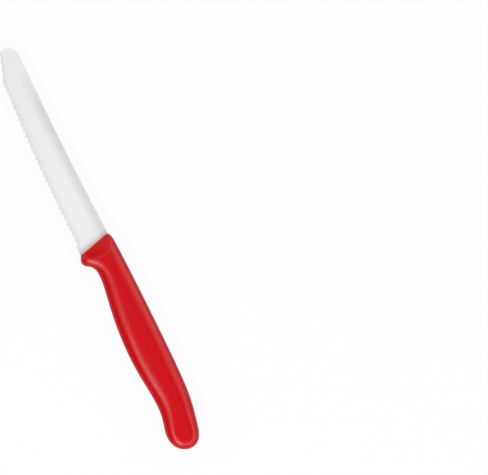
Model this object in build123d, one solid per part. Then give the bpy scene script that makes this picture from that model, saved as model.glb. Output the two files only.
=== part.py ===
from build123d import *

import math
import os

# Tomato knife: a stamped, serrated blade whose tang is moulded into a one-piece plastic handle.
# All lengths are in millimetres and all angles in degrees.
# The pieces are drawn with x = 0 where the handle's slanted front meets the line of its straight back.
# From there x runs to the butt, the blade points along -x, and y runs down from the back to the cutting
# edge as a negative number, so a depth below the back is -y. z = 0 is the middle of the steel. The last
# step lays the finished knife on its side on z = 0.

# Blade, seen from its side
BLADE_LENGTH = 109.5
BACK_DEPTH_AT_HEEL = 1.65
BACK_DEPTH_AT_MIDDLE = 1.9
BACK_DEPTH_AT_TIP = 0.9
HEEL_DEPTH = 19.45
HEEL_LENGTH = 5.2
TOOTH_DEPTH_AT_HEEL = 18.9
TOOTH_DEPTH_AT_MIDDLE = 18.1
TOOTH_DEPTH_AT_TIP = 15.25
TIP_CURVE_LENGTH = 5.6
TIP_APEX_DEPTH = 5.8
TIP_CORNER_DEPTH = 9.0
TIP_CORNER_SETBACK = 0.9
UPSWEEP_DEPTH = 11.4
UPSWEEP_SETBACK = 7.2

# Blade, seen on edge
HEEL_THICKNESS = 1.2
TIP_THICKNESS = 0.9
EDGE_THICKNESS = 0.5

# Serration, ground into the right-hand face alone
SCALLOP_PITCH = 3.15
SCALLOP_DEPTH = 0.95
SCALLOP_COUNT = 29
GRIND_ANGLE = 18.0
GRIND_ALLOWANCE = 0.3
PLAIN_EDGE_THICKNESS = 0.12

# Tang, hidden in the handle
TANG_LENGTH = 64.0
TANG_ROOT_TOP = 3.4
TANG_ROOT_BOTTOM = 16.4
TANG_ROOT_LENGTH = 8.0
TANG_SHOULDER = 1.5
TANG_TOP = 5.2
TANG_BOTTOM = 13.0
LOCK_HOLE = 4.2
LOCK_HOLE_PLACE = 20.0
LOCK_HOLE_SPACING = 30.0

# Handle, seen from its side
HANDLE_LENGTH = 119.7
FRONT_SLANT = 13.6
FRONT_TOP = 1.95
FRONT_BOTTOM = 19.35
GUARD_DEPTH = 20.68
NECK_DEPTH = 15.4
BELLY_DEPTH = 20.58
WAIST_DEPTH = 19.2
HOOK_DEPTH = 21.95
BUTT_DEPTH = 13.0

# Handle, in its thickness
HANDLE_THICKNESS = 12.0
BACK_ROUND = 6.8
BELLY_ROUND = 8.2
GUARD_ROUND = 6.7
BUTT_ROUND = 4.8
ROUND_POWER = 2.5
SECTION_COUNT = 25
FRONT_THICKNESS = 6.2
FACET_END = 9.8
FACET_END_DEPTH = 9.0
FACET_BORDER_RADIUS = 20.0

# How far a cutting shape runs past what it cuts
OVERRUN = 4.0


def share_of(start, end, share):
    """The value that lies the given share of the way from start to end."""
    return start + (end - start) * share


def front_x(depth):
    """Where the handle's slanted front lies at a depth below the back."""
    return depth * math.tan(math.radians(FRONT_SLANT))


def handle_sides():
    """The handle's side view, round from the front: its back, butt, belly and guard, a table for each.

    Each row is a share of the handle's length, a depth, the size of the edge's rounding there, and the
    shares of that rounding that lead from the outline, along x and y, to the edge of the flat side.
    """
    back_shares = [
        (0.010, FRONT_TOP * 0.59, BACK_ROUND, 0.20, -0.85),
        (0.025, FRONT_TOP * 0.24, BACK_ROUND, 0.10, -0.93),
        (0.055, FRONT_TOP * 0.08, BACK_ROUND, 0.03, -0.98),
        (0.120, 0, BACK_ROUND, 0, -1),
        (0.370, 0, BACK_ROUND, 0, -1),
        (0.550, BUTT_DEPTH * 0.021, BACK_ROUND, -0.02, -1),
        (0.706, BUTT_DEPTH * 0.065, BACK_ROUND, -0.08, -1),
        (0.810, BUTT_DEPTH * 0.15, BACK_ROUND * 0.94, -0.18, -0.98),
        (0.914, BUTT_DEPTH * 0.35, BACK_ROUND * 0.78, -0.45, -0.92),
    ]
    butt_shares = [
        (0.969, BUTT_DEPTH * 0.523, BUTT_ROUND, -0.75, -0.72),
        (0.995, BUTT_DEPTH * 0.77, BUTT_ROUND, -0.95, -0.38),
        (1, BUTT_DEPTH, BUTT_ROUND, -1, 0),
        (0.989, share_of(BUTT_DEPTH, HOOK_DEPTH, 0.49), BUTT_ROUND, -0.90, 0.42),
        (0.960, share_of(BUTT_DEPTH, HOOK_DEPTH, 0.86), BUTT_ROUND, -0.60, 0.90),
    ]
    belly_shares = [
        (0.910, HOOK_DEPTH, BELLY_ROUND * 0.74, -0.12, 0.98),
        (0.836, share_of(WAIST_DEPTH, HOOK_DEPTH, 0.31), BELLY_ROUND * 0.88, -0.08, 0.99),
        (0.744, WAIST_DEPTH, BELLY_ROUND, 0, 1),
        (0.635, share_of(BELLY_DEPTH, WAIST_DEPTH, 0.31), BELLY_ROUND, 0, 1),
        (0.551, BELLY_DEPTH, BELLY_ROUND, 0, 1),
        (0.401, share_of(NECK_DEPTH, BELLY_DEPTH, 0.82), BELLY_ROUND, 0, 1),
        (0.251, share_of(NECK_DEPTH, BELLY_DEPTH, 0.30), BELLY_ROUND * 0.94, 0, 1),
    ]
    guard_shares = [
        (0.155, NECK_DEPTH, GUARD_ROUND * 1.05, 0, 1),
        (0.120, share_of(NECK_DEPTH, GUARD_DEPTH, 0.108), GUARD_ROUND, -0.02, 1.02),
        (0.104, share_of(NECK_DEPTH, GUARD_DEPTH, 0.34), GUARD_ROUND, -0.08, 1.08),
        (0.088, share_of(NECK_DEPTH, GUARD_DEPTH, 0.81), GUARD_ROUND, -0.14, 1.28),
        (0.073, GUARD_DEPTH, GUARD_ROUND, -0.14, 1.27),
        (0.052, share_of(NECK_DEPTH, GUARD_DEPTH, 0.91), GUARD_ROUND, -0.08, 1.08),
    ]
    return [back_shares, butt_shares, belly_shares, guard_shares]


def handle_section(turn):
    """The handle's side view at one level of its thickness.

    turn runs from -90 at the lower flat side through 0 at the middle, where the outline is widest, to 90
    at the upper flat side. The rounded edge between them is a superellipse. One smooth curve runs round
    all four sides and is divided where they meet, so that each side becomes a face of its own.
    """
    inset = 1 - math.cos(math.radians(turn)) ** (2 / ROUND_POWER)
    rise = abs(math.sin(math.radians(turn))) ** (2 / ROUND_POWER)
    level = math.copysign(HANDLE_THICKNESS / 2 * rise, turn)
    top = FRONT_TOP + BACK_ROUND * inset
    bottom = FRONT_BOTTOM - GUARD_ROUND * inset
    points = [(front_x(top), -top)]
    ends = [points[0]]
    for rows in handle_sides():
        for along, depth, rounding, step_x, step_y in rows:
            step = rounding * inset
            points.append((HANDLE_LENGTH * along + step * step_x, step * step_y - depth))
        ends.append(points[-1])
    points.append((front_x(bottom), -bottom))
    ends[-1] = points[-1]
    around = Spline(*points)
    sides = [around.trim(start, end) for start, end in zip(ends, ends[1:])]
    return Pos(0, 0, level) * Face(Wire(sides + [Line(ends[-1], ends[0])]))


def facet_region(reach):
    """What lies ahead of a facet's surface, at a share of the way up from the front to the flat side.

    The facet starts straight, along the handle's front, and ends on the flat side in a shallow arc.
    """
    low = 2 * FACET_END_DEPTH + OVERRUN
    border = []
    for depth in (-OVERRUN, FACET_END_DEPTH, low):
        end = FACET_END - (depth - FACET_END_DEPTH) ** 2 / (2 * FACET_BORDER_RADIUS)
        border.append((share_of(front_x(depth), end, reach), -depth))
    edge = ThreePointArc(*border) if reach else Line(border[0], border[-1])
    ahead = Polyline(border[-1], (-low, -low), (-low, OVERRUN), border[0])
    level = share_of(FRONT_THICKNESS, HANDLE_THICKNESS, reach) / 2
    return Pos(0, 0, level) * make_face(edge + ahead)


def half_thickness(x, depth):
    """Half the steel's thickness, which tapers to the cutting edge and a little to the tip."""
    back = share_of(HEEL_THICKNESS, TIP_THICKNESS, -x / BLADE_LENGTH)
    return share_of(back, EDGE_THICKNESS, depth / HEEL_DEPTH) / 2


def steel_section(x):
    """A slice across the tapered steel, from the line of the back to past the edge."""
    low = HEEL_DEPTH + OVERRUN / 4
    top = half_thickness(x, 0)
    bottom = half_thickness(x, low)
    return make_face(Polyline((x, 0, top), (x, -low, bottom), (x, -low, -bottom), (x, 0, -top), close=True))


def steel_body():
    """The tapered steel before it is cut to the blade's outline."""
    behind = front_x(HEEL_DEPTH) + TANG_SHOULDER
    return loft([steel_section(behind), steel_section(-BLADE_LENGTH - OVERRUN)], ruled=True)


def tooth_line(allowance=0):
    """The shallow arc through the tooth tips, with the steel that grinding takes off outside it."""
    start = front_x(HEEL_DEPTH) - HEEL_LENGTH
    length = SCALLOP_PITCH * SCALLOP_COUNT
    return ThreePointArc(
        (start, -TOOTH_DEPTH_AT_HEEL - allowance),
        (start - length / 2, -TOOTH_DEPTH_AT_MIDDLE - allowance),
        (start - length, -TOOTH_DEPTH_AT_TIP),
    )


def upsweep():
    """The plain end of the cutting edge, which rises from the last tooth to the tip's corner."""
    corner = (TIP_CORNER_SETBACK - BLADE_LENGTH, -TIP_CORNER_DEPTH)
    middle = (UPSWEEP_SETBACK - BLADE_LENGTH, -UPSWEEP_DEPTH)
    return Spline(tooth_line() @ 1, middle, corner)


def blade_outline():
    """The blade seen from its side, before its edge is ground."""
    back_heel = (front_x(BACK_DEPTH_AT_HEEL), -BACK_DEPTH_AT_HEEL)
    back_middle = (-BLADE_LENGTH / 2, -BACK_DEPTH_AT_MIDDLE)
    back_tip = (TIP_CURVE_LENGTH - BLADE_LENGTH, -BACK_DEPTH_AT_TIP)
    apex = (-BLADE_LENGTH, -TIP_APEX_DEPTH)
    heel = (front_x(HEEL_DEPTH), -HEEL_DEPTH)
    heel_end = (heel[0] - HEEL_LENGTH, -HEEL_DEPTH)
    blank_edge = tooth_line(GRIND_ALLOWANCE)
    rise = upsweep()
    return make_face(
        ThreePointArc(back_heel, back_middle, back_tip)
        + Spline(back_tip, apex, rise @ 1, tangents=[(-1, 0), (0, -1), (1, -2)])
        + rise
        + blank_edge
        + Polyline(blank_edge @ 0, heel_end, heel, back_heel)
    )


def grinding_wheel():
    """What the ribbed grinding wheel takes off the right-hand face along the cutting edge.

    The wheel's ribs all lean by the grinding angle. Each one reaches the left face at the full depth of
    its scallop and leaves the steel through the right face, so neighbouring scallops meet in a pointed
    tooth. The wheel's plain end grinds the upsweep. Its profile is drawn square to the ribs.
    """
    lean = math.radians(GRIND_ANGLE)
    far = HOOK_DEPTH + OVERRUN

    def on_profile(point, depth_change=0, land=0):
        level = half_thickness(point.X, -point.Y) - land
        return (point.X, (depth_change - point.Y) * math.sin(lean) - level * math.cos(lean))

    line = tooth_line()
    rise = upsweep()
    profile = Curve()
    tips = [line @ (index / SCALLOP_COUNT) for index in range(SCALLOP_COUNT + 1)]
    for index in range(SCALLOP_COUNT):
        root = line @ ((index + 0.5) / SCALLOP_COUNT)
        profile += ThreePointArc(
            on_profile(tips[index]), on_profile(root, -SCALLOP_DEPTH), on_profile(tips[index + 1])
        )
    plain = [on_profile(rise @ (index / 4), 0, PLAIN_EDGE_THICKNESS) for index in range(5)]
    end = (-BLADE_LENGTH - OVERRUN, plain[-1][1])
    first = on_profile(tips[0])
    profile += Line(on_profile(tips[-1]), plain[0]) + Spline(*plain) + Line(plain[-1], end)
    profile += Polyline(end, (end[0], far), (first[0], far), first)
    wheel = Plane(origin=(0, 0, 0), x_dir=(1, 0, 0), z_dir=(0, math.cos(lean), -math.sin(lean)))
    return extrude(wheel * make_face(profile), -far)


def tang():
    """The hidden end of the steel: a full-thickness plate behind the ground blade, with two lock holes."""
    top = front_x(TANG_ROOT_TOP) + TANG_SHOULDER
    bottom = front_x(TANG_ROOT_BOTTOM) + TANG_SHOULDER
    narrow = bottom + TANG_ROOT_LENGTH
    side = make_face(
        Polyline(
            (top, -TANG_ROOT_TOP),
            (narrow, -TANG_TOP),
            (TANG_LENGTH, -TANG_TOP),
            (TANG_LENGTH, -TANG_BOTTOM),
            (narrow, -TANG_BOTTOM),
            (bottom, -TANG_ROOT_BOTTOM),
            close=True,
        )
    )
    middle = (TANG_TOP + TANG_BOTTOM) / 2
    for index in range(2):
        side -= Pos(LOCK_HOLE_PLACE + LOCK_HOLE_SPACING * index, -middle) * Circle(LOCK_HOLE / 2)
    return extrude(side, HEEL_THICKNESS / 2, both=True)


def tang_root():
    """The ground steel that runs a little way into the handle and joins the blade to its tang."""
    points = []
    for depth in (TANG_ROOT_TOP, TANG_ROOT_BOTTOM):
        points.append((front_x(depth), -depth))
    for depth in (TANG_ROOT_BOTTOM, TANG_ROOT_TOP):
        points.append((front_x(depth) + TANG_SHOULDER, -depth))
    return make_face(Polyline(*points, close=True))


def make_blade():
    """The whole steel piece: the ground and serrated blade, its root and its tang."""
    side = blade_outline() + tang_root()
    ground = extrude(side, HEEL_THICKNESS, both=True) & steel_body()
    return ground - grinding_wheel() + tang()


def make_handle(blade):
    """The moulded handle, with its front facets and closed tightly round the steel."""
    last = SECTION_COUNT - 1
    sections = [handle_section(180 * index / last - 90) for index in range(SECTION_COUNT)]
    body = loft(sections, ruled=True, clean=False)
    facet = loft([facet_region(0), facet_region(1 + OVERRUN / HANDLE_THICKNESS)], ruled=True)
    return body - facet - mirror(facet, Plane.XY) - blade


def save(shape, name):
    """Write one finished piece under its node's name."""
    os.makedirs("parts", exist_ok=True)
    export_step(shape, f"parts/{name}.step")


blade = make_blade()
handle = make_handle(blade)
box = Compound([blade, handle]).bounding_box()
on_its_side = Pos(-box.center().X, -box.center().Y, -box.min.Z)
save(on_its_side * blade, "blade")
save(on_its_side * handle, "handle")
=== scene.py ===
"""The looks of a tomato knife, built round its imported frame.

The knife has two pieces. The blade is stamped and ground steel with a scalloped cutting edge and a
hidden tang, and the handle is one moulding of glossy plastic. The knife lies on the flat right side
of its handle with the blade's left face up. x runs from the blade's tip to the handle's butt and y
from the cutting edge to the back.
"""

import logging
import math
from dataclasses import dataclass, field
from enum import Enum
from typing import Any, Sequence

import bmesh
import bpy
import numpy as np
from mathutils import Matrix, Vector

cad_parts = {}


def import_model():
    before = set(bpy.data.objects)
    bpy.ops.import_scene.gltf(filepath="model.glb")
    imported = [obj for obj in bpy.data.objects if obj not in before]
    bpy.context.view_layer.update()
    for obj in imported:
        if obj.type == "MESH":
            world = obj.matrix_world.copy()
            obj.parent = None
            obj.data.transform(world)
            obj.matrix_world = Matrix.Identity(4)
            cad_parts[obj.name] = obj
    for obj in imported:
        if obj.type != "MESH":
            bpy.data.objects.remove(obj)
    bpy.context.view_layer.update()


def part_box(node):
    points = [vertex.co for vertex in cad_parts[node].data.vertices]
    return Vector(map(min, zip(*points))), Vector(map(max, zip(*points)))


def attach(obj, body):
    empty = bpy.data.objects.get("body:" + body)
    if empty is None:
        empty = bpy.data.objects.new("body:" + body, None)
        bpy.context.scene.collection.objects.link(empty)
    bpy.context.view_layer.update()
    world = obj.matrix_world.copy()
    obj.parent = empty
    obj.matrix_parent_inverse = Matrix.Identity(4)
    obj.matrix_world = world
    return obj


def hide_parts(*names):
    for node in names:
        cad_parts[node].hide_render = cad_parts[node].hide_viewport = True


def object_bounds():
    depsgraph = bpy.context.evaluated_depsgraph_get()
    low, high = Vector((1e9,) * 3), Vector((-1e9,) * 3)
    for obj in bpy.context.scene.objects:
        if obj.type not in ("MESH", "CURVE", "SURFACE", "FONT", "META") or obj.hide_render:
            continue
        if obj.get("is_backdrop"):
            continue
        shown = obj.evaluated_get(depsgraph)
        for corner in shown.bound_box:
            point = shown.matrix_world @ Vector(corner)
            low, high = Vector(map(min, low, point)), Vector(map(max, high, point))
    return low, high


MM = 0.001
FRONT_SLANT = math.radians(13.6)
MERGE = 0.002 * MM
SOCKETS = {float: "NodeSocketFloat", Vector: "NodeSocketVector", bpy.types.Material: "NodeSocketMaterial"}
Line = tuple[np.ndarray, np.ndarray, float]
log = logging.getLogger("tomato_knife")


def mix(start: Any, end: Any, share: Any) -> Any:
    """The value that lies the given share of the way from start to end."""
    return start + (end - start) * share


def front_x(depth: Any) -> Any:
    """Where the handle's slanted front lies at a depth below the back."""
    return depth * math.tan(FRONT_SLANT)


class Value:
    """A number in a node tree. Sums and products of values add the tree's Math nodes."""

    def __init__(self, graph: "Graph", socket: bpy.types.NodeSocket) -> None:
        """Wrap an output socket, for new nodes in its graph."""
        self.graph, self.socket = graph, socket

    def __add__(self, other: Any) -> "Value":
        """This value plus the other."""
        return self.graph.math("ADD", self, other)

    def __sub__(self, other: Any) -> "Value":
        """This value less the other."""
        return self.graph.math("SUBTRACT", self, other)

    def __rsub__(self, other: Any) -> "Value":
        """The other less this value."""
        return self.graph.math("SUBTRACT", other, self)

    def __mul__(self, other: Any) -> "Value":
        """This value times the other."""
        return self.graph.math("MULTIPLY", self, other)

    def __truediv__(self, other: Any) -> "Value":
        """This value divided by the other."""
        return self.graph.math("DIVIDE", self, other)


class Graph:
    """Adds nodes to one node tree."""

    def __init__(self, tree: bpy.types.NodeTree) -> None:
        """Start on the tree that the nodes go into."""
        self.tree = tree

    def node(self, kind: str, settings: dict[str, Any] | None = None, **sockets: Any) -> bpy.types.Node:
        """Add one node.

        Args:
            kind: The node's type.
            settings: The node's properties, which are set first.
            sockets: Values or links for the inputs. A name has _ for each space, and in1 is the input at 1.

        Returns:
            The new node.
        """
        made = self.tree.nodes.new(kind)
        for name, value in (settings or {}).items():
            setattr(made, name, value)
        for name, value in sockets.items():
            slot = int(name[2:]) if name[:2] == "in" and name[2:].isdigit() else name.replace("_", " ")
            self.feed(made.inputs[slot], value)
        return made

    def feed(self, socket: bpy.types.NodeSocket, value: Any) -> None:
        """Link a socket to a value, or set it.

        Args:
            socket: The input socket.
            value: A Value, an output socket or a plain value.
        """
        if isinstance(value, Value):
            value = value.socket
        if isinstance(value, bpy.types.NodeSocket):
            self.tree.links.new(value, socket)
        else:
            socket.default_value = value

    def value(self, output: Any, kind: str, settings: dict[str, Any] | None = None, **sockets: Any) -> Value:
        """Add one node and return the number at the given output."""
        return Value(self, self.node(kind, settings, **sockets).outputs[output])

    def math(self, operation: str, *operands: Any) -> Value:
        """Add a Math node on one to three numbers or values and return its result."""
        inputs = {f"in{place}": operand for place, operand in enumerate(operands)}
        return self.value(0, "ShaderNodeMath", {"operation": operation}, **inputs)

    def blend_colours(self, share: Any, first: Any, second: Any) -> bpy.types.NodeSocket:
        """Mix two colours. The share is how much of the second one shows."""
        return self.node("ShaderNodeMix", {"data_type": "RGBA"}, in0=share, in6=first, in7=second).outputs[2]


def smooth_curve(points: Sequence[Sequence[float]], count: int) -> np.ndarray:
    """A cubic spline through rows of numbers, with the second derivative continuous all along.

    Args:
        points: The rows. The first two numbers of each are its place.
        count: How many rows to make.

    Returns:
        The interpolated rows, evenly spaced along the chords between the places.
    """
    rows = np.array(points, float)
    steps = np.linalg.norm(np.diff(rows[:, :2], axis=0), axis=1)
    knots = np.concatenate([[0], np.cumsum(steps)])
    system, bend = np.eye(len(rows)), np.zeros_like(rows)
    slopes = np.diff(rows, axis=0) / steps[:, None]
    for row in range(1, len(rows) - 1):
        system[row, row - 1:row + 2] = steps[row - 1], 2 * (steps[row - 1] + steps[row]), steps[row]
        bend[row] = 6 * (slopes[row] - slopes[row - 1])
    second = np.linalg.solve(system, bend)
    places = np.linspace(0, knots[-1], count)
    span = np.clip(np.searchsorted(knots, places) - 1, 0, len(knots) - 2)
    step = (knots[span + 1] - knots[span])[:, None]
    right = (places - knots[span])[:, None] / step
    left = 1 - right
    straight = left * rows[span] + right * rows[span + 1]
    curved = (left**3 - left) * second[span] + (right**3 - right) * second[span + 1]
    return straight + curved * step**2 / 6


def arc_through(
    start: Sequence[float], middle: Sequence[float], end: Sequence[float], count: int
) -> np.ndarray:
    """Points evenly spaced on the circular arc through three points.

    Args:
        start: The first point of the arc.
        middle: A point on the way.
        end: The last point.
        count: How many points to make.

    Returns:
        The points, one row each.
    """
    a, b, c = (np.array(point, float) for point in (start, middle, end))
    normal = np.array([[b[0] - a[0], b[1] - a[1]], [c[0] - a[0], c[1] - a[1]]])
    centre = np.linalg.solve(2 * normal, [b @ b - a @ a, c @ c - a @ a])
    angles = [math.atan2(*(point - centre)[::-1]) for point in (a, b, c)]
    turns = np.unwrap(angles)
    spread = np.linspace(turns[0], turns[2], count)
    return centre + np.linalg.norm(a - centre) * np.c_[np.cos(spread), np.sin(spread)]


def new_mesh(name: str, points: np.ndarray, faces: Sequence[Sequence[int]]) -> bpy.types.Mesh:
    """A mesh from points and faces.

    Args:
        name: The mesh's name.
        points: The vertices, in metres.
        faces: The vertex numbers of each face.

    Returns:
        The mesh.
    """
    mesh = bpy.data.meshes.new(name)
    mesh.from_pydata([tuple(point) for point in points], [], [tuple(face) for face in faces])
    return mesh


def tidy_mesh(mesh: bpy.types.Mesh) -> None:
    """Merge doubled points, drop faces with no area and turn the rest outwards.

    Args:
        mesh: The mesh to tidy.
    """
    work = bmesh.new()
    work.from_mesh(mesh)
    bmesh.ops.remove_doubles(work, verts=work.verts, dist=MERGE)
    bmesh.ops.dissolve_degenerate(work, edges=work.edges, dist=MERGE)
    bmesh.ops.recalc_face_normals(work, faces=work.faces)
    work.to_mesh(mesh)
    work.free()


def settled(piece: bpy.types.Object) -> None:
    """Turn a piece's modifiers into its plain mesh.

    Args:
        piece: The object whose modifiers are applied and removed.
    """
    graph = bpy.context.evaluated_depsgraph_get()
    mesh = bpy.data.meshes.new_from_object(piece.evaluated_get(graph), depsgraph=graph)
    piece.modifiers.clear()
    piece.data = mesh


def add_object(name: str, data: bpy.types.ID) -> bpy.types.Object:
    """Put a new object into the scene.

    Args:
        name: The object's name.
        data: Its mesh, lamp or camera.

    Returns:
        The object.
    """
    made = bpy.data.objects.new(name, data)
    bpy.context.scene.collection.objects.link(made)
    return made


def empty_tree(owner: bpy.types.ID) -> Graph:
    """Empty the node tree of a material or a world.

    Args:
        owner: The material or the world.

    Returns:
        The tree's graph.
    """
    owner.use_nodes = True
    owner.node_tree.nodes.clear()
    return Graph(owner.node_tree)


class Grain(Enum):
    """Which way the marks of the last grinding belt run on a steel face."""

    ACROSS = (9.0, 0.12, 9.0)
    ALONG = (0.12, 9.0, 9.0)


@dataclass(frozen=True)
class BrushedSteel:
    """Stainless steel, ground on a belt and lightly glazed, with painted shade along the back and at the
    cutting edge.

    Attributes:
        colour: The metal's colour.
        roughness: The roughness of the broad faces.
        ground_roughness: The roughness where the scallops are ground.
        grain: Which way the belt's marks run.
        mark_height: The depth of the belt's marks in metres.
        back_shade_tone: The share of the colour left in the painted shade along the back, which stands in for
            the darker reflection there.
        back_shade_band: How far below the back that painted shade begins and where it is complete, in metres.
        back_shade_fade: How far from the tip the painted shade fades away and where it is complete, in
            metres.
        edge_shade_tone: The share of the colour left in the painted shade at the cutting edge.
        edge_shade_power: How steeply that painted shade sets in near the cutting edge.
        mark_noise: The detail and the roughness of the noise that draws the belt's marks.
        swings: How far the marks and the clouds change the roughness.
        mark_tone: How far the marks change the tone.
        cloud_scale: How many broad, faint clouds there are to a metre.
    """

    colour: tuple[float, float, float, float] = (0.96, 0.96, 0.96, 1.0)
    roughness: float = 0.7
    ground_roughness: float = 0.4
    grain: Grain = Grain.ACROSS
    mark_height: float = 0.0006 * MM
    back_shade_tone: float = 0.86
    back_shade_band: tuple[float, float] = (7.5 * MM, 1.6 * MM)
    back_shade_fade: tuple[float, float] = (10 * MM, 40 * MM)
    edge_shade_tone: float = 0.88
    edge_shade_power: float = 3.0
    mark_noise: tuple[float, float] = (3.0, 0.6)
    swings: tuple[float, float] = (0.10, 0.05)
    mark_tone: float = 0.06
    cloud_scale: float = 0.06 / MM

    def material(self, back: float, tip: float) -> bpy.types.Material:
        """The finish as a material.

        Args:
            back: The y of the blade's back.
            tip: The x of the blade's tip.

        Returns:
            The material.
        """
        made = bpy.data.materials.new("brushed_steel")
        graph = empty_tree(made)
        place = graph.node("ShaderNodeTexCoord").outputs["Object"]
        fine = graph.node("ShaderNodeMapping", Vector=place, Scale=[share / MM for share in self.grain.value])
        detail, rough = self.mark_noise
        mark = graph.value("Fac", "ShaderNodeTexNoise", Vector=fine.outputs[0], Scale=1.0, Detail=detail,
                           Roughness=rough)
        cloud = graph.value("Fac", "ShaderNodeTexNoise", Vector=place, Scale=self.cloud_scale, Detail=2.0)
        ground = graph.value("Fac", "ShaderNodeAttribute", {"attribute_name": "ground"})
        roughness = ground * (self.ground_roughness - self.roughness) + self.roughness
        roughness = roughness + (mark - 0.5) * self.swings[0] + (cloud - 0.5) * self.swings[1]
        axes = graph.node("ShaderNodeSeparateXYZ", Vector=place).outputs
        softly = {"interpolation_type": "SMOOTHSTEP"}
        # Painted shade: a darker strip along the back, fading out towards the tip, stands in for the darker
        # reflection there.
        below = graph.value(0, "ShaderNodeMapRange", softly, Value=axes["Y"],
                            From_Min=back - self.back_shade_band[0], From_Max=back - self.back_shade_band[1])
        along = graph.value(0, "ShaderNodeMapRange", softly, Value=axes["X"],
                            From_Min=tip + self.back_shade_fade[0], From_Max=tip + self.back_shade_fade[1])
        near = graph.value("Fac", "ShaderNodeAttribute", {"attribute_name": "edge_share"})
        tone = mark * self.mark_tone + (1.0 - self.mark_tone / 2)
        tone = tone * (1.0 - below * along * (1.0 - self.back_shade_tone))
        # Painted shade: the steel's colour darkens towards the cutting edge.
        tone = tone * (1.0 - graph.math("POWER", near, self.edge_shade_power) * (1.0 - self.edge_shade_tone))
        grey = graph.node("ShaderNodeCombineColor", Red=tone, Green=tone, Blue=tone).outputs[0]
        mixed = graph.node("ShaderNodeMix", {"data_type": "RGBA", "blend_type": "MULTIPLY"}, in0=1.0,
                           in6=self.colour, in7=grey)
        bump = graph.node("ShaderNodeBump", Strength=1.0, Distance=self.mark_height, Height=mark)
        shader = graph.node("ShaderNodeBsdfPrincipled", Base_Color=mixed.outputs[2], Metallic=1.0,
                            Roughness=roughness, Normal=bump.outputs[0])
        graph.node("ShaderNodeOutputMaterial", Surface=shader.outputs[0])
        return made


@dataclass(frozen=True)
class MouldedPlastic:
    """Glossy polypropylene, as it comes from a polished mould.

    Attributes:
        colour: The plastic's colour.
        roughness: The mean roughness.
        ior: The plastic's index of refraction.
        ripple_height: The height of the mould's faint unevenness in metres.
        ripple_scale: How many of its ripples there are to a metre.
        cloud_scale: How many broad clouds, in which the plastic is deeper, there are to a metre.
        swing: How far ripples and clouds change the roughness.
        deepest: The share of the colour that is left in the deepest cloud.
    """

    colour: tuple[float, float, float, float] = (0.68, 0.002, 0.005, 1.0)
    roughness: float = 0.24
    ior: float = 1.52
    ripple_height: float = 0.004 * MM
    ripple_scale: float = 0.35 / MM
    cloud_scale: float = 0.05 / MM
    swing: float = 0.06
    deepest: float = 0.93

    def material(self) -> bpy.types.Material:
        """The finish as a material.

        Returns:
            The material.
        """
        made = bpy.data.materials.new("moulded_plastic")
        graph = empty_tree(made)
        place = graph.node("ShaderNodeTexCoord").outputs["Object"]
        fine = graph.value("Fac", "ShaderNodeTexNoise", Vector=place, Scale=self.ripple_scale, Detail=3.0)
        broad = graph.value("Fac", "ShaderNodeTexNoise", Vector=place, Scale=self.cloud_scale, Detail=2.0)
        roughness = (fine - 0.5) * self.swing + self.roughness + (broad - 0.5) * self.swing
        deeper = tuple(channel * self.deepest for channel in self.colour[:3]) + (1.0,)
        colour = graph.blend_colours(broad, self.colour, deeper)
        bump = graph.node("ShaderNodeBump", Strength=1.0, Distance=self.ripple_height, Height=fine)
        shader = graph.node("ShaderNodeBsdfPrincipled", Base_Color=colour, Roughness=roughness,
                            IOR=self.ior, Normal=bump.outputs[0])
        graph.node("ShaderNodeOutputMaterial", Surface=shader.outputs[0])
        return made


@dataclass(frozen=True)
class PalePaper:
    """The studio's floor, which looks white and keeps the knife's soft shadow.

    Attributes:
        colour: The paper's colour.
        bounce: The paper's colour as it lights the knife from below.
        camera_glow: How much of the floor that a camera sees is plain white.
        mirror_glow: How much of the floor that a glossy surface mirrors is plain white.
    """

    colour: tuple[float, float, float, float] = (0.95, 0.95, 0.95, 1.0)
    bounce: tuple[float, float, float, float] = (0.2, 0.2, 0.2, 1.0)
    camera_glow: float = 0.93
    mirror_glow: float = 0.3

    def material(self) -> bpy.types.Material:
        """The finish as a material.

        Returns:
            The material.
        """
        made = bpy.data.materials.new("pale_paper")
        graph = empty_tree(made)
        rays = graph.node("ShaderNodeLightPath").outputs
        camera = Value(graph, rays["Is Camera Ray"])
        mirrored = Value(graph, rays["Is Glossy Ray"]) + rays["Is Transmission Ray"]
        share = camera * self.camera_glow + graph.math("MINIMUM", mirrored, 1.0) * self.mirror_glow
        tint = graph.blend_colours(camera, self.bounce, self.colour)
        paper = graph.node("ShaderNodeBsdfDiffuse", Color=tint)
        white = graph.node("ShaderNodeEmission", Color=(1.0, 1.0, 1.0, 1.0), Strength=1.0)
        shader = graph.node("ShaderNodeMixShader", in0=share, in1=paper.outputs[0], in2=white.outputs[0])
        graph.node("ShaderNodeOutputMaterial", Surface=shader.outputs[0])
        return made


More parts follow.
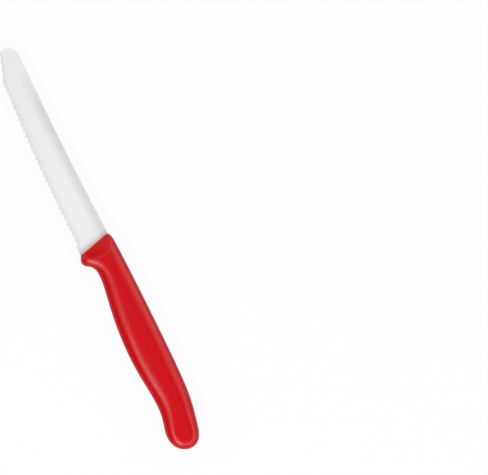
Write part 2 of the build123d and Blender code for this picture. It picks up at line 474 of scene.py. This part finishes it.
@dataclass
class Blade:
    """The steel piece: a tapered blade with a scalloped edge, a plain heel, a round tip and a tang.

    It is drawn with x = 0 where the handle's slanted front meets the line of the back. Depths run from
    the back's line towards the cutting edge.
    """

    length: float = 109.5 * MM
    back_depths: tuple[float, float, float] = (1.65 * MM, 1.9 * MM, 0.9 * MM)
    heel_depth: float = 19.45 * MM
    heel_length: float = 5.2 * MM
    tooth_depths: tuple[float, float, float] = (18.9 * MM, 18.1 * MM, 15.25 * MM)
    tip_curve_length: float = 5.6 * MM
    tip_apex_depth: float = 5.8 * MM
    tip_corner: tuple[float, float] = (0.9 * MM, 9.0 * MM)
    upsweep: tuple[float, float] = (7.2 * MM, 11.4 * MM)
    heel_thickness: float = 1.2 * MM
    tip_thickness: float = 0.9 * MM
    edge_thickness: float = 0.5 * MM
    scallop_pitch: float = 3.15 * MM
    scallop_depth: float = 0.95 * MM
    scallop_count: int = 29
    scallop_steps: int = 16
    grind_angle: float = math.radians(18)
    plain_edge: float = 0.12 * MM
    rim: float = 0.09 * MM
    sharp_angle: float = math.radians(12)
    heel_step: float = 0.12 * MM
    tang_length: float = 64.0 * MM
    tang_root: tuple[float, float] = (3.4 * MM, 16.4 * MM)
    tang_root_length: float = 8.0 * MM
    tang_shoulder: float = 1.5 * MM
    tang_plate: tuple[float, float] = (5.2 * MM, 13.0 * MM)
    lock_hole: float = 4.2 * MM
    lock_hole_place: float = 20.0 * MM
    lock_hole_spacing: float = 30.0 * MM
    lock_holes: int = 2
    punch_sides: int = 40
    outline_points: tuple[int, int, int, int] = (33, 200, 25, 9)
    rim_steps: tuple[tuple[float, float], ...] = ((0.0, 1.0), (0.134, 0.5), (0.5, 0.134))
    edge_rim_step: float = 0.293
    edge_rim_share: float = 0.35
    lean_reach: float = 8.0
    face_rows: tuple[float, ...] = (0.28, 0.46, 0.64, 0.93)
    ground_rows: tuple[float, ...] = (0.33, 0.67)
    pull_start: float = 0.64
    finish: BrushedSteel = field(default_factory=BrushedSteel)

    def half_thickness(self, flat: np.ndarray) -> np.ndarray:
        """Half the steel's thickness at flat points. It tapers to the edge and a little to the tip."""
        back = mix(self.heel_thickness, self.tip_thickness, -flat[:, 0] / self.length)
        return mix(back, self.edge_thickness, flat[:, 1] / self.heel_depth) / 2

    def shift(self) -> Vector:
        """From the drawing's origin to the frame's."""
        low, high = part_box("blade")
        return Vector((low.x + self.length, high.y + self.back_depths[2], (low.z + high.z) / 2))

    @staticmethod
    def bend(
        start: np.ndarray, leave: Sequence[float], end: np.ndarray, arrive: Sequence[float], count: int
    ) -> np.ndarray:
        """Points on the smooth curve that leaves and arrives in the given directions.

        Args:
            start: The first point.
            leave: The direction at the start, one long.
            end: The last point.
            arrive: The direction at the end, of any length.
            count: How many points to make.

        Returns:
            The points, one row each.
        """
        share = np.linspace(0, 1, count)[:, None]
        reach = np.linalg.norm(end - start)
        arrive = np.array(arrive) / np.linalg.norm(arrive)
        near = (2 * share**3 - 3 * share**2 + 1) * start
        near = near + (share**3 - 2 * share**2 + share) * reach * np.array(leave)
        return near + (3 * share**2 - 2 * share**3) * end + (share**3 - share**2) * reach * arrive

    def outline(self) -> dict[str, np.ndarray]:
        """The blade's back and its edge before the scallops, both from the apex to the heel.

        Returns:
            The back's points and, for each column, the edge's points, the thickness of the steel left
            below the edge's corner, and the place along the row of teeth, or -1 where there is none.
        """
        tip_count, back_count, rise_count, heel_count = self.outline_points
        apex = np.array([-self.length, self.tip_apex_depth])
        back_start = np.array([self.tip_curve_length - self.length, self.back_depths[2]])
        corner = np.array([self.tip_corner[0] - self.length, self.tip_corner[1]])
        up = self.bend(apex, (0.0, -1.0), back_start, (1.0, 0.0), tip_count)
        down = self.bend(apex, (0.0, 1.0), corner, (1.0, 2.0), tip_count)
        heel_x = front_x(self.heel_depth)
        back_heel = (front_x(self.back_depths[0]), self.back_depths[0])
        back = arc_through(up[-1], (-self.length / 2, self.back_depths[1]), back_heel, back_count)
        first_tooth = heel_x - self.heel_length
        row = self.scallop_pitch * self.scallop_count
        teeth = arc_through(
            (first_tooth - row, self.tooth_depths[2]),
            (first_tooth - row / 2, self.tooth_depths[1]),
            (first_tooth, self.tooth_depths[0]),
            self.scallop_count * self.scallop_steps + 1,
        )
        rise = self.upsweep_curve(down[-1], teeth[0], rise_count)
        heel_run = np.linspace(first_tooth + self.heel_step, heel_x, heel_count)
        heel = np.c_[heel_run, np.full(heel_count, self.heel_depth)]
        below_corner = self.plain_edge + (self.tip_corner[1] - down[:, 1]) * math.tan(self.grind_angle)
        parts = [down[:-1], rise, teeth, heel]
        lands = [below_corner[:-1], np.full(len(rise), self.plain_edge), np.zeros(len(teeth))]
        lands.append(2 * self.half_thickness(heel))
        places = [np.full(len(part), -1.0) for part in parts]
        places[2] = np.linspace(0, self.scallop_count, len(teeth))
        return {
            "back": np.concatenate([up[:-1], back]),
            "edge": np.concatenate(parts),
            "land": np.concatenate(lands),
            "place": np.concatenate(places),
        }

    def upsweep_curve(self, corner: np.ndarray, last_tooth: np.ndarray, count: int) -> np.ndarray:
        """The plain rise of the edge, on a parabola from the tip's corner to the last tooth.

        Args:
            corner: The tip's corner.
            last_tooth: Where the row of teeth ends.
            count: How many points to make.

        Returns:
            The points, one row each.
        """
        middle = np.array([self.upsweep[0] - self.length, self.upsweep[1]])
        first = np.linalg.norm(middle - corner)
        knot = first / (first + np.linalg.norm(last_tooth - middle))
        share = np.linspace(0, 1, count)[:, None]
        return (
            corner * (share - knot) * (share - 1) / knot
            + middle * share * (share - 1) / (knot * (knot - 1))
            + last_tooth * share * (share - knot) / (1 - knot)
        )

    @staticmethod
    def inward(line: np.ndarray, side: int) -> np.ndarray:
        """The directions square to a line of points.

        Args:
            line: The points.
            side: 1 or -1, for the side of the line that the directions point to.

        Returns:
            One direction for each point. The first is +x, because both lines start at the apex.
        """
        way = np.gradient(line, axis=0)
        across = side * np.c_[way[:, 1], -way[:, 0]]
        across /= np.maximum(np.linalg.norm(across, axis=1), MM * MM)[:, None]
        across[0] = (1, 0)
        return across

    def face_row(self, start: np.ndarray, end: np.ndarray, share: float) -> Line:
        """The line on the steel's face at a share of the way from start to end."""
        flat = mix(start, end, share)
        return flat, self.half_thickness(flat), max(0.0, (share - self.pull_start) / (1 - self.pull_start))

    def blank(self) -> bpy.types.Mesh:
        """The steel before its scallops are ground, drawn as lines that run along the blade.

        Returns:
            The closed mesh, with what the grinding needs stored on its points.
        """
        drawn = self.outline()
        edge, land = drawn["edge"], drawn["land"]
        slant = front_x(self.heel_depth) - front_x(self.back_depths[0])
        lean = slant * np.clip(1 + (edge[:, 0] - edge[-1, 0]) / (self.lean_reach * slant), 0, 1) ** 2
        back_x = edge[:, 0] - lean * (edge[:, 0] > edge[0, 0])
        back_x[-1] = drawn["back"][-1, 0]
        order = np.argsort(drawn["back"][:, 0])
        back = np.c_[back_x, np.interp(back_x, drawn["back"][order, 0], drawn["back"][order, 1])]
        back[0] = edge[0]
        back_in, edge_in = self.inward(back, -1), self.inward(edge, 1)
        height = np.linalg.norm(edge - back, axis=1)
        rim = np.minimum(self.rim, height / 3)[:, None]
        edge_rim = np.minimum(rim[:, 0], land * self.edge_rim_share)[:, None]
        half_edge = self.half_thickness(edge)
        land = np.minimum(land, 2 * half_edge)
        taper = (self.heel_thickness - self.edge_thickness) / self.heel_depth / 2
        grind = (2 * half_edge - land) / (math.tan(self.grind_angle) - taper)
        grind = np.minimum(grind, np.maximum(height - 2 * rim[:, 0], 0))
        ground_end = edge - np.c_[np.zeros(len(grind)), grind]
        roots = [(depth - self.back_depths[0]) / (self.heel_depth - self.back_depths[0])
                 for depth in self.tang_root]
        shares = sorted([*self.face_rows, *roots])
        inner, edge_inner = back + back_in * rim, edge + edge_in * edge_rim
        back_half, ground_half = self.half_thickness(back), self.half_thickness(ground_end)
        step = edge_rim * self.edge_rim_step
        rounded: list[Line] = [(back + back_in * rim * inset, back_half - rim[:, 0] * fall, 0.0)
                               for inset, fall in self.rim_steps]
        rounded.append((inner, self.half_thickness(inner), 0.0))
        lines = rounded + [self.face_row(inner, edge_inner, share) for share in shares]
        lines.append((edge_inner, self.half_thickness(edge_inner), 1.0))
        lines.append((edge + edge_in * step, half_edge - step[:, 0], 1.0))
        lines.append((edge, half_edge - edge_rim[:, 0], 1.0))
        bevel = len(lines)
        for share in (0.0, *self.ground_rows):
            lines.append((mix(edge, ground_end, share), mix(half_edge - land, -ground_half, share), 1.0))
        right_face = rounded + [self.face_row(inner, ground_end, share) for share in shares]
        right_face.append((ground_end, ground_half, 1.0))
        lines += [(flat, -level, pull) for flat, level, pull in reversed(right_face)]
        left = [len(rounded) + shares.index(root) for root in roots]
        return self.join(lines, drawn["place"], bevel, left)

    def join(self, lines: list[Line], place: np.ndarray, bevel: int, left: list[int]) -> bpy.types.Mesh:
        """Join the lines into a closed mesh and grow the tang from the heel.

        Args:
            lines: For each line its flat points, its levels and how much the grinding pulls it.
            place: The place of each column in the row of teeth.
            bevel: The line at which the ground bevel begins.
            left: The lines on the left face between which the tang grows.

        Returns:
            The mesh, with pull, edge_share and tooth_place stored on its points and ground on its faces.
        """
        count, columns = len(lines), len(place)
        points = np.concatenate([np.c_[flat[:, 0], -flat[:, 1], level] for flat, level, _ in lines])
        number = np.arange(count * columns).reshape(count, columns)
        faces: list[list[int]] = []
        ground: list[float] = []
        for line in range(count):
            here, following = number[line], number[(line + 1) % count]
            for column in range(columns - 1):
                faces.append([here[column], here[column + 1], following[column + 1], following[column]])
                ground.append(float(bevel <= line <= bevel + len(self.ground_rows)))
        points = self.grow_tang(points, faces, number[:, -1], left)
        ground += [0.0] * (len(faces) - len(ground))
        mesh = new_mesh("blade", points + np.array(self.shift()), faces)
        near = np.repeat([pull for _, _, pull in lines], columns)
        places = np.tile(place, count)
        grid = {"pull": near * (places >= 0), "edge_share": near, "tooth_place": np.maximum(places, 0)}
        for name, values in grid.items():
            stored = np.zeros(len(points))
            stored[:len(values)] = values
            mesh.attributes.new(name, "FLOAT", "POINT").data.foreach_set("value", stored)
        mesh.attributes.new("ground", "FLOAT", "FACE").data.foreach_set("value", ground)
        return mesh

    def grow_tang(
        self, points: np.ndarray, faces: list[list[int]], heel: np.ndarray, left: list[int]
    ) -> np.ndarray:
        """Wall off the heel above and below the tang, and carry the steel on between them as the tang.

        Args:
            points: The points so far.
            faces: The faces so far, which gain the walls and the tang's faces.
            heel: The point numbers of the last column, round the section.
            left: The lines on the left face between which the tang grows.

        Returns:
            The points with the tang's added.
        """
        count, rows = len(heel), left[1] - left[0] + 1
        right = [count - 1 - line for line in left]
        faces.append([heel[line % count] for line in range(right[0], count + left[0] + 1)])
        faces.append(list(heel[left[1]:right[1] + 1]))
        before = [*heel[left[0]:left[1] + 1], *heel[right[1]:right[0] + 1]]
        narrow = front_x(self.tang_root[1]) + self.tang_shoulder + self.tang_root_length
        stations = [
            ([front_x(depth) + self.tang_shoulder for depth in self.tang_root], self.tang_root),
            ([narrow, narrow], self.tang_plate),
            ([self.tang_length, self.tang_length], self.tang_plate),
        ]
        half = self.heel_thickness / 2
        share = np.linspace(0, 1, rows)
        for places, depths in stations:
            first = len(points)
            for level in (half, -half):
                added = np.c_[mix(*places, share), -mix(*depths, share), np.full(rows, level)]
                points = np.concatenate([points, added])
            after = [*range(first, first + rows), *range(first + 2 * rows - 1, first + rows - 1, -1)]
            for here in range(2 * rows):
                follow = (here + 1) % (2 * rows)
                faces.append([before[here], after[here], after[follow], before[follow]])
            before = after
        faces.append(before)
        return points

    def grinding_tree(self, sizes: dict[str, Any]) -> tuple[bpy.types.NodeTree, dict[str, str]]:
        """The Geometry Nodes tree that grinds the scallops and punches the tang's lock holes.

        Args:
            sizes: The tree's named inputs and what they will be set to.

        Returns:
            The tree and the identifier of each of its named inputs.
        """
        tree = bpy.data.node_groups.new("grind_scallops", "GeometryNodeTree")
        face, names = tree.interface, {}
        face.new_socket(name="Blank", in_out="INPUT", socket_type="NodeSocketGeometry")
        for name, size in sizes.items():
            made = face.new_socket(name=name, in_out="INPUT", socket_type=SOCKETS[type(size)])
            names[name] = made.identifier
        face.new_socket(name="Blade", in_out="OUTPUT", socket_type="NodeSocketGeometry")
        graph = Graph(tree)
        given = graph.node("NodeGroupInput").outputs
        pitch, depth, angle = (Value(graph, given[name])
                               for name in ("Scallop Pitch", "Scallop Depth", "Grind Angle"))
        place, pull = (graph.value(0, "GeometryNodeInputNamedAttribute", {"data_type": "FLOAT"}, Name=name)
                       for name in ("tooth_place", "pull"))
        across = (graph.math("FRACT", place) - 0.5) * pitch
        sine = graph.math("SINE", angle)
        sag = depth * sine
        radius = (pitch * pitch / 4 + sag * sag) / (sag * 2)
        rise = (graph.math("SQRT", radius * radius - across * across) - (radius - sag)) / sine
        offset = graph.node("ShaderNodeCombineXYZ", Y=rise * pull)
        moved = graph.node("GeometryNodeSetPosition", Geometry=given["Blank"], Offset=offset.outputs[0])
        punch = graph.node("GeometryNodeMeshCylinder", Vertices=self.punch_sides,
                           Radius=given["Hole Radius"], Depth=given["Hole Height"])
        row = graph.node("GeometryNodeMeshLine", Count=self.lock_holes,
                         Start_Location=given["First Hole"], Offset=given["Hole Spacing"])
        punches = graph.node("GeometryNodeInstanceOnPoints", Points=row.outputs[0], Instance=punch.outputs[0])
        solid = graph.node("GeometryNodeRealizeInstances", Geometry=punches.outputs[0])
        cut = graph.node("GeometryNodeMeshBoolean", {"operation": "DIFFERENCE", "solver": "EXACT"},
                         in0=moved.outputs[0], in1=solid.outputs[0])
        real = graph.node("GeometryNodeRealizeInstances", Geometry=cut.outputs[0])
        dressed = graph.node("GeometryNodeSetMaterial", Geometry=real.outputs[0], Material=given["Finish"])
        graph.node("NodeGroupOutput", in0=dressed.outputs[0])
        return tree, names

    def build(self) -> bpy.types.Object:
        """Make, grind and dress the blade in the frame's own place.

        Returns:
            The finished piece.
        """
        low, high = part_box("blade")
        mesh = self.blank()
        tidy_mesh(mesh)
        piece = add_object("steel_blade", mesh)
        sizes = {
            "Scallop Pitch": self.scallop_pitch,
            "Scallop Depth": self.scallop_depth,
            "Grind Angle": self.grind_angle,
            "Hole Radius": self.lock_hole / 2,
            "Hole Height": self.heel_thickness * 3,
            "First Hole": self.shift() + Vector((self.lock_hole_place, -sum(self.tang_plate) / 2, 0)),
            "Hole Spacing": Vector((self.lock_hole_spacing, 0, 0)),
            "Finish": self.finish.material(high.y, low.x),
        }
        modifier = piece.modifiers.new("grinding", "NODES")
        modifier.node_group, names = self.grinding_tree(sizes)
        for name, size in sizes.items():
            modifier[names[name]] = size
        settled(piece)
        piece.data.shade_smooth()
        piece.data.set_sharp_from_angle(angle=self.sharp_angle)
        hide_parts("blade")
        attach(piece, "root")
        return piece


@dataclass
class Handle:
    """The moulded handle, with its rounded edges, flat sides and two facets that lead to the blade.

    Each row of a table is a share of the handle's length, a depth, the size of the edge's rounding there,
    and the shares of that rounding that lead from the outline, along x and y, to the edge of the flat side.
    """

    length: float = 119.7 * MM
    front_top: float = 1.95 * MM
    front_bottom: float = 19.35 * MM
    guard_depth: float = 20.68 * MM
    neck_depth: float = 15.4 * MM
    belly_depth: float = 20.58 * MM
    waist_depth: float = 19.2 * MM
    hook_depth: float = 21.95 * MM
    butt_depth: float = 13.0 * MM
    thickness: float = 12.0 * MM
    back_round: float = 6.8 * MM
    belly_round: float = 8.2 * MM
    guard_round: float = 6.7 * MM
    butt_round: float = 4.8 * MM
    round_power: float = 2.5
    front_thickness: float = 6.2 * MM
    facet_end: float = 9.8 * MM
    facet_end_depth: float = 9.0 * MM
    facet_border_radius: float = 20.0 * MM
    facet_softness: float = 0.35 * MM
    front_bevel: float = 0.45 * MM
    parting_depth: float = 0.03 * MM
    front_columns: int = 56
    body_columns: int = 190
    round_rings: int = 30
    flat_rows: int = 12
    outline_samples: int = 6000
    front_run: float = 13.0 * MM
    round_samples: int = 400
    first_ring: float = 0.02
    crease_angle: float = math.radians(40)
    bevel_segments: int = 3
    finish: MouldedPlastic = field(default_factory=MouldedPlastic)

    def rows(self) -> list[tuple[float, float, float, float, float]]:
        """The side view, round from the front along back, butt and belly to the guard.

        Returns:
            The table's rows.
        """
        back, butt, belly = self.back_round, self.butt_round, self.belly_round
        neck, deep, waist, hook = self.neck_depth, self.belly_depth, self.waist_depth, self.hook_depth
        end, guard, bend = self.butt_depth, self.guard_depth, self.guard_round
        return [
            (0.010, self.front_top * 0.59, back, 0.20, -0.85),
            (0.025, self.front_top * 0.24, back, 0.10, -0.93),
            (0.055, self.front_top * 0.08, back, 0.03, -0.98),
            (0.120, 0, back, 0, -1),
            (0.370, 0, back, 0, -1),
            (0.550, end * 0.021, back, -0.02, -1),
            (0.706, end * 0.065, back, -0.08, -1),
            (0.810, end * 0.15, back * 0.94, -0.18, -0.98),
            (0.914, end * 0.35, back * 0.78, -0.45, -0.92),
            # the butt
            (0.969, end * 0.523, butt, -0.75, -0.72),
            (0.995, end * 0.77, butt, -0.95, -0.38),
            (1, end, butt, -1, 0),
            (0.989, mix(end, hook, 0.49), butt, -0.90, 0.42),
            (0.960, mix(end, hook, 0.86), butt, -0.60, 0.90),
            # the belly
            (0.910, hook, belly * 0.74, -0.12, 0.98),
            (0.836, mix(waist, hook, 0.31), belly * 0.88, -0.08, 0.99),
            (0.744, waist, belly, 0, 1),
            (0.635, mix(deep, waist, 0.31), belly, 0, 1),
            (0.551, deep, belly, 0, 1),
            (0.401, mix(neck, deep, 0.82), belly, 0, 1),
            (0.251, mix(neck, deep, 0.30), belly * 0.94, 0, 1),
            # the guard
            (0.155, neck, bend * 1.05, 0, 1),
            (0.120, mix(neck, guard, 0.108), bend, -0.02, 1.02),
            (0.104, mix(neck, guard, 0.34), bend, -0.08, 1.08),
            (0.088, mix(neck, guard, 0.81), bend, -0.14, 1.28),
            (0.073, guard, bend, -0.14, 1.27),
            (0.052, mix(neck, guard, 0.91), bend, -0.08, 1.08),
        ]

    def columns(self) -> np.ndarray:
        """Places round the outline, from the front's upper corner to its lower one.

        Returns:
            For each place its x, its y, and the step along x and y to the edge of the flat side.
        """
        lean = front_x(1)
        knots = [(front_x(self.front_top), -self.front_top, lean * self.back_round, -self.back_round)]
        for along, depth, rounding, step_x, step_y in self.rows():
            knots.append((self.length * along, -depth, rounding * step_x, rounding * step_y))
        knots.append((front_x(self.front_bottom), -self.front_bottom,
                      -lean * self.guard_round, self.guard_round))
        fine = smooth_curve(knots, self.outline_samples)
        butt = int(np.argmax(fine[:, 0]))
        run = np.concatenate([[0], np.cumsum(np.linalg.norm(np.diff(fine[:, :2], axis=0), axis=1))])
        halves = []
        for start, end in ((0, butt), (len(fine) - 1, butt)):
            total = abs(run[end] - run[start])
            near = np.linspace(0, self.front_run, self.front_columns, endpoint=False)
            far = np.linspace(self.front_run, total, self.body_columns)
            places = run[start] + np.sign(run[end] - run[start]) * np.concatenate([near, far])
            halves.append(np.column_stack([np.interp(places, run, fine[:, index]) for index in range(4)]))
        return np.concatenate([halves[0], halves[1][-2::-1]])

    def facet_level(self, flat: np.ndarray) -> np.ndarray:
        """How high above the middle the facets' surface lies.

        Args:
            flat: Points of the side view.

        Returns:
            One level for each point.
        """
        depth = -flat[:, 1]
        end = self.facet_end - (depth - self.facet_end_depth) ** 2 / (2 * self.facet_border_radius)
        share = (flat[:, 0] - front_x(depth)) / (end - front_x(depth))
        return mix(self.front_thickness, self.thickness, share) / 2

    def softly_under(self, level: np.ndarray, limit: np.ndarray) -> np.ndarray:
        """The lower of the body's level and the facet's limit, with their crossing rounded off."""
        share = np.clip(0.5 + (limit - level) / self.facet_softness / 2, 0, 1)
        return mix(limit, level, share) - self.facet_softness * share * (1 - share)

    def rounding(self) -> np.ndarray:
        """The edge's rounding as evenly spaced steps along its superellipse.

        Returns:
            For each ring above the parting line its share of the step inwards and of half the thickness.
        """
        turns = np.linspace(0, math.pi / 2, self.round_samples)
        inset = 1 - np.cos(turns).clip(0) ** (2 / self.round_power)
        rise = np.sin(turns) ** (2 / self.round_power)
        run = np.concatenate([[0], np.cumsum(np.hypot(np.diff(inset), np.diff(rise)))])
        even = np.linspace(0, run[-1], self.round_rings)
        even[0] = self.first_ring
        steps = np.c_[np.interp(even, run, inset), np.interp(even, run, rise)]
        steps[-1] = 1
        return steps

    def ring(self, flat: np.ndarray, lift: float) -> np.ndarray:
        """A ring of the skin over flat points, at a share of half the thickness or on the facet."""
        level = np.full(len(flat), lift * self.thickness / 2)
        return np.c_[flat, self.softly_under(level, self.facet_level(flat))]

    def skin(self) -> tuple[np.ndarray, list[list[int]]]:
        """Rings from the parting line up to the left side's middle, and the same mirrored downwards.

        Returns:
            The points and the point numbers of each face.
        """
        outline = self.columns()
        count = len(outline)
        inward = outline[:, 2:] / np.linalg.norm(outline[:, 2:], axis=1)[:, None]
        rings = [np.c_[outline[:, :2] + inward * self.parting_depth, np.zeros(count)]]
        for share, lift in self.rounding():
            rings.append(self.ring(outline[:, :2] + outline[:, 2:] * share, lift))
        border = rings[-1][:, :2]
        spine = (border + border[::-1]) / 2
        for row in range(1, self.flat_rows + 1):
            rings.append(self.ring(mix(border, spine, row / self.flat_rows), 1.0))
        upper = np.array(rings)
        number = np.arange(len(rings) * count).reshape(-1, count)
        faces: list[list[int]] = []
        for half in (number, number + number.size):
            for ring, following in zip(half, half[1:]):
                for column in range(count - 1):
                    faces.append([ring[column], ring[column + 1], following[column + 1], following[column]])
        front = [*number[:, 0], *number[-2::-1, -1]]
        for before, after in zip(front, front[1:]):
            faces.append([before, after, after + number.size, before + number.size])
        return np.concatenate([upper, upper * (1, 1, -1)]).reshape(-1, 3), faces

    def build(self) -> bpy.types.Object:
        """Make and dress the handle in the frame's own place.

        Returns:
            The finished piece.
        """
        low, high = (np.array(corner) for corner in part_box("handle"))
        drawn, faces = self.skin()
        points = low + (drawn - drawn.min(axis=0)) / np.ptp(drawn, axis=0) * (high - low)
        mesh = new_mesh("handle", points, faces)
        tidy_mesh(mesh)
        mesh.materials.append(self.finish.material())
        piece = add_object("moulded_handle", mesh)
        self.soften_front(piece)
        piece.data.shade_smooth()
        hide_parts("handle")
        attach(piece, "root")
        return piece

    def soften_front(self, piece: bpy.types.Object) -> None:
        """Round off the edges of the handle's front face.

        Args:
            piece: The handle, with its front still sharp.
        """
        mesh = piece.data
        work = bmesh.new()
        work.from_mesh(mesh)
        weight = work.edges.layers.float.new("bevel_weight_edge")
        for edge in work.edges:
            if len(edge.link_faces) == 2 and edge.calc_face_angle() > self.crease_angle:
                edge[weight] = 1.0
        work.to_mesh(mesh)
        work.free()
        bevel = piece.modifiers.new("front_edges", "BEVEL")
        bevel.width = self.front_bevel
        bevel.segments = self.bevel_segments
        bevel.limit_method = "WEIGHT"
        bevel.use_clamp_overlap = True
        settled(piece)


@dataclass(frozen=True)
class Softbox:
    """A square studio lamp that looks at the knife.

    Attributes:
        name: The lamp's name.
        bearing: Which way it stands from there, in degrees round from +x towards +y.
        tilt: How far it stands from straight above, in degrees.
        radiance: Its brightness, where 1 is white.
        size: The width of its face.
        distance: How far away it stands.
        aim: The point that it looks at, from the middle of the knife.
    """

    name: str
    bearing: float
    tilt: float
    radiance: float
    size: float = 0.36
    distance: float = 1.0
    aim: tuple[float, float, float] = (0.0, 0.0, 0.0)

    def build(self, middle: Vector) -> None:
        """Hang the lamp.

        Args:
            middle: The middle of the knife.
        """
        target = middle + Vector(self.aim)
        bearing, tilt = math.radians(self.bearing), math.radians(self.tilt)
        flat = math.sin(tilt)
        away = Vector((flat * math.cos(bearing), flat * math.sin(bearing), math.cos(tilt)))
        data = bpy.data.lights.new(self.name, "AREA")
        data.shape = "SQUARE"
        data.size = self.size
        data.energy = self.radiance * math.pi * self.size**2
        lamp = add_object(self.name, data)
        lamp.location = target + away * self.distance
        lamp.rotation_mode = "QUATERNION"
        lamp.rotation_quaternion = (-away).to_track_quat("-Z", "Y")
        lamp.visible_camera = False


@dataclass(frozen=True)
class LampRing:
    """Softboxes at one height, evenly spaced round the knife from the butt's side on.

    Attributes:
        name: The ring's name.
        tilt: How far the ring stands from straight above, in degrees.
        size: The width of each softbox.
        radiances: The brightness of each place in the ring. A place at 0 stays empty.
    """

    name: str
    tilt: float
    size: float
    radiances: tuple[float, ...]

    def build(self, middle: Vector) -> None:
        """Hang the ring's lamps.

        Args:
            middle: The middle of the knife.
        """
        step = 360 / len(self.radiances)
        for place, radiance in enumerate(self.radiances):
            if radiance > 0:
                Softbox(f"{self.name}_{place}", place * step, self.tilt, radiance, self.size).build(middle)


@dataclass
class Studio:
    """The floor, the lamps, the world and the camera.

    The picture is 488 by 475 pixels. The knife's back line meets the handle's front at joint_pixel, and
    the knife leans by lean from the upright, its tip to the left.
    """

    picture: tuple[float, float] = (488.0, 475.0)
    joint_pixel: tuple[float, float] = (110.0, 231.0)
    lean: float = math.radians(26.86)
    pixel: float = 0.52 * MM
    lens: float = 300.0
    sensor: float = 36.0
    floor_size: float = 6.0
    floor_drop: float = 0.02 * MM
    clip: tuple[float, float] = (0.01, 20.0)
    rings: tuple[LampRing, ...] = (
        LampRing("top_ring", 22, 0.36, (0, 0, 0, 0.22, 0, 0.76, 0, 0.63, 0, 0.72, 0, 0.33)),
        LampRing("high_ring", 42, 0.36, (1.30, 1.27, 0.99, 0.86, 1.44, 1.33, 0, 0.60, 1.33, 0, 1.06, 1.35)),
        LampRing("low_ring", 62, 0.44, (1.04, 1.10, 1.08, 1.05, 1.30, 1.26, 0, 1.20, 1.19, 0, 0.77, 1.10)),
        LampRing("floor_ring", 80, 0.40, (0.76, 0.84, 0.98, 0.94, 0.88, 0.91, 0, 0.82)),
    )
    softboxes: tuple[Softbox, ...] = (
        Softbox("edge_overhead", -90, 12, 0.4, 0.2),
        Softbox("guard_edge", -60, 30, 2.2, 0.22, 0.65, (0.004, -0.006, 0.0)),
        Softbox("guard_butt", -45, 45, 3.9, 0.22, 0.65, (0.004, -0.006, 0.0)),
    )

    def build(self, shift: Vector) -> None:
        """Set up the studio round the knife.

        Args:
            shift: From the drawing's origin, where the front meets the back's line, to the frame's.
        """
        low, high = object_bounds()
        middle = (low + high) / 2
        self.floor()
        self.world()
        for lamps in self.rings + self.softboxes:
            lamps.build(middle)
        self.camera(shift)
        bpy.context.scene.view_settings.view_transform = "Standard"

    def floor(self) -> None:
        """Lay the paper that the knife rests on."""
        half = self.floor_size / 2
        sides = ((-half, -half), (half, -half), (half, half), (-half, half))
        corners = [(x, y, -self.floor_drop) for x, y in sides]
        mesh = new_mesh("floor", np.array(corners), [(0, 1, 2, 3)])
        mesh.materials.append(PalePaper().material())
        add_object("floor", mesh)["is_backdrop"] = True

    def world(self) -> None:
        """Show the room white to the camera. It lights nothing, because the lamps do that."""
        world = bpy.data.worlds.new("studio")
        bpy.context.scene.world = world
        graph = empty_tree(world)
        seen = graph.node("ShaderNodeLightPath").outputs["Is Camera Ray"]
        sky = graph.node("ShaderNodeBackground", Color=(1.0, 1.0, 1.0, 1.0), Strength=seen)
        graph.node("ShaderNodeOutputWorld", Surface=sky.outputs[0])

    def camera(self, shift: Vector) -> None:
        """Look straight down, with the knife where it lies in the picture.

        Args:
            shift: From the drawing's origin to the frame's.
        """
        across = Vector((math.sin(self.lean), math.cos(self.lean), 0))
        up = Vector((-math.cos(self.lean), math.sin(self.lean), 0))
        right_steps = self.picture[0] / 2 - self.joint_pixel[0]
        down_steps = self.picture[1] / 2 - self.joint_pixel[1]
        aim = shift + across * right_steps * self.pixel - up * down_steps * self.pixel
        distance = self.lens / self.sensor * self.picture[0] * self.pixel
        data = bpy.data.cameras.new("camera")
        data.lens = self.lens
        data.sensor_width = self.sensor
        data.clip_start, data.clip_end = self.clip
        camera = add_object("camera", data)
        turn = Matrix((across, up, Vector((0, 0, 1)))).transposed().to_4x4()
        camera.matrix_world = Matrix.Translation(aim + Vector((0, 0, distance))) @ turn
        bpy.context.scene.camera = camera


def main() -> None:
    """Load the frame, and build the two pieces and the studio."""
    logging.basicConfig(level=logging.INFO, format="%(name)s: %(message)s")
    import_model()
    blade = Blade()
    handle = Handle()
    for piece in (blade.build(), handle.build()):
        log.info("%s has %d faces", piece.name, len(piece.data.polygons))
    Studio().build(blade.shift())


if __name__ == "__main__":
    main()
